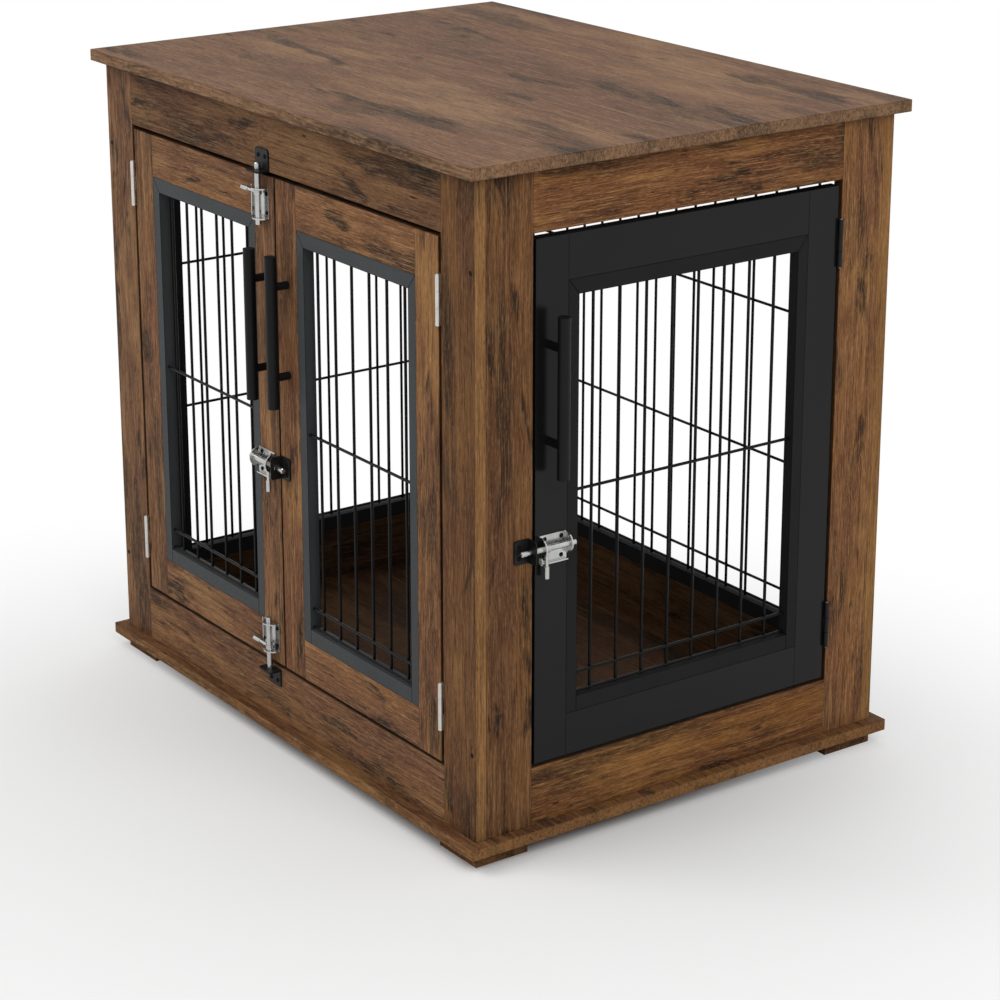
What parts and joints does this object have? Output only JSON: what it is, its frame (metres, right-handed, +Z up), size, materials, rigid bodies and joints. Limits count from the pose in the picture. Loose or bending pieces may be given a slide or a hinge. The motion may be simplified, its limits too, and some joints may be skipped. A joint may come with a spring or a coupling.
{
  "type": "pet crate",
  "caption": "Furniture-style wooden pet crate with wire grilles, hinged front doors, a black end door, bar pulls and sliding bolts.",
  "frame": {"origin": "on the floor, under the middle of the whole object", "axes": "+Z up, the front doors face -Y, the black end door is on the +X end"},
  "size_m": [0.7124, 0.5326, 0.675],
  "materials": {
    "brown_wood": "rustic brown wood-grain laminate, matt",
    "black_wood": "black laminate, satin",
    "grey_tube": "dark grey powder coat, satin",
    "black_metal": "black powder coat, satin",
    "black_screw": "black oxide",
    "plated_steel": "bright nickel plate, lightly brushed"
  },
  "bodies": {
    "carcass": {"top_board": "brown_wood", "base_board": "brown_wood", "feet": "brown_wood", "front_left_post": "brown_wood", "front_right_post": "brown_wood", "rear_left_post": "brown_wood", "rear_right_post": "brown_wood", "front_top_rail": "brown_wood", "front_bottom_rail": "brown_wood", "rear_top_rail": "brown_wood", "rear_bottom_rail": "brown_wood", "left_top_rail": "brown_wood", "left_bottom_rail": "brown_wood", "right_top_rail": "brown_wood", "right_bottom_rail": "brown_wood", "rear_panel_frame": "black_metal", "rear_panel_mesh": "black_metal", "left_panel_frame": "black_metal", "left_panel_mesh": "black_metal", "front_hinge_leaves": "plated_steel", "side_hinge_leaves": "black_metal", "hinge_pins": "plated_steel", "front_keepers": "black_metal", "side_keeper": "black_metal", "carcass_screws": "black_screw"},
    "left_door": {"left_door_stiles": "brown_wood", "left_door_rails": "brown_wood", "left_door_frame": "grey_tube", "left_door_mesh": "black_metal", "left_door_handle": "black_metal", "left_door_hinge_leaves": "plated_steel", "left_door_screws": "black_screw", "top_bolt_housing": "plated_steel", "mid_bolt_housing": "plated_steel", "bottom_bolt_housing": "plated_steel"},
    "right_door": {"right_door_stiles": "brown_wood", "right_door_rails": "brown_wood", "right_door_frame": "grey_tube", "right_door_mesh": "black_metal", "right_door_handle": "black_metal", "right_door_hinge_leaves": "plated_steel", "right_door_screws": "black_screw", "mid_keeper": "black_metal"},
    "side_door": {"side_door_stiles": "black_wood", "side_door_rails": "black_wood", "side_door_frame": "black_metal", "side_door_mesh": "black_metal", "side_door_handle": "black_metal", "side_door_hinge_leaves": "black_metal", "side_door_screws": "black_screw", "side_bolt_housing": "plated_steel"},
    "top_bolt": {"top_bolt_rod": "plated_steel"},
    "top_lever": {"top_bolt_lever": "plated_steel"},
    "mid_bolt": {"mid_bolt_rod": "plated_steel"},
    "mid_lever": {"mid_bolt_lever": "plated_steel"},
    "bottom_bolt": {"bottom_bolt_rod": "plated_steel"},
    "bottom_lever": {"bottom_bolt_lever": "plated_steel"},
    "side_bolt": {"side_bolt_rod": "plated_steel"},
    "side_lever": {"side_bolt_lever": "plated_steel"}
  },
  "joints": [
    {"name": "left_door_hinge", "type": "hinge", "parent": "carcass", "child": "left_door", "pos_m": [-0.29, -0.24395, 0.34375], "axis": [0, 0, -1], "range_deg": [0, 170]},
    {"name": "right_door_hinge", "type": "hinge", "parent": "carcass", "child": "right_door", "pos_m": [0.2775, -0.24395, 0.34375], "axis": [0, 0, 1], "range_deg": [0, 170]},
    {"name": "side_door_hinge", "type": "hinge", "parent": "carcass", "child": "side_door", "pos_m": [0.33395, 0.188, 0.34375], "axis": [0, 0, 1], "range_deg": [0, 170]},
    {"name": "top_bolt_slide", "type": "slide", "parent": "left_door", "child": "top_bolt", "axis": [0, 0, 1], "range_m": [-0.0202, 0]},
    {"name": "top_lever_turn", "type": "hinge", "parent": "top_bolt", "child": "top_lever", "pos_m": [-0.02635, -0.24825, 0.5829], "axis": [0, 0, 1], "range_deg": [0, 30]},
    {"name": "mid_bolt_slide", "type": "slide", "parent": "left_door", "child": "mid_bolt", "axis": [1, 0, 0], "range_m": [-0.0202, 0]},
    {"name": "mid_lever_turn", "type": "hinge", "parent": "mid_bolt", "child": "mid_lever", "pos_m": [-0.02015, -0.24825, 0.3055], "axis": [-1, 0, 0], "range_deg": [0, 30]},
    {"name": "bottom_bolt_slide", "type": "slide", "parent": "left_door", "child": "bottom_bolt", "axis": [0, 0, -1], "range_m": [-0.0202, 0]},
    {"name": "bottom_lever_turn", "type": "hinge", "parent": "bottom_bolt", "child": "bottom_lever", "pos_m": [-0.02635, -0.24825, 0.1061], "axis": [0, 0, 1], "range_deg": [0, 30]},
    {"name": "side_bolt_slide", "type": "slide", "parent": "side_door", "child": "side_bolt", "axis": [0, -1, 0], "range_m": [-0.0202, 0]},
    {"name": "side_lever_turn", "type": "hinge", "parent": "side_bolt", "child": "side_lever", "pos_m": [0.33825, -0.16575, 0.3055], "axis": [0, -1, 0], "range_deg": [0, 30]}
  ]
}
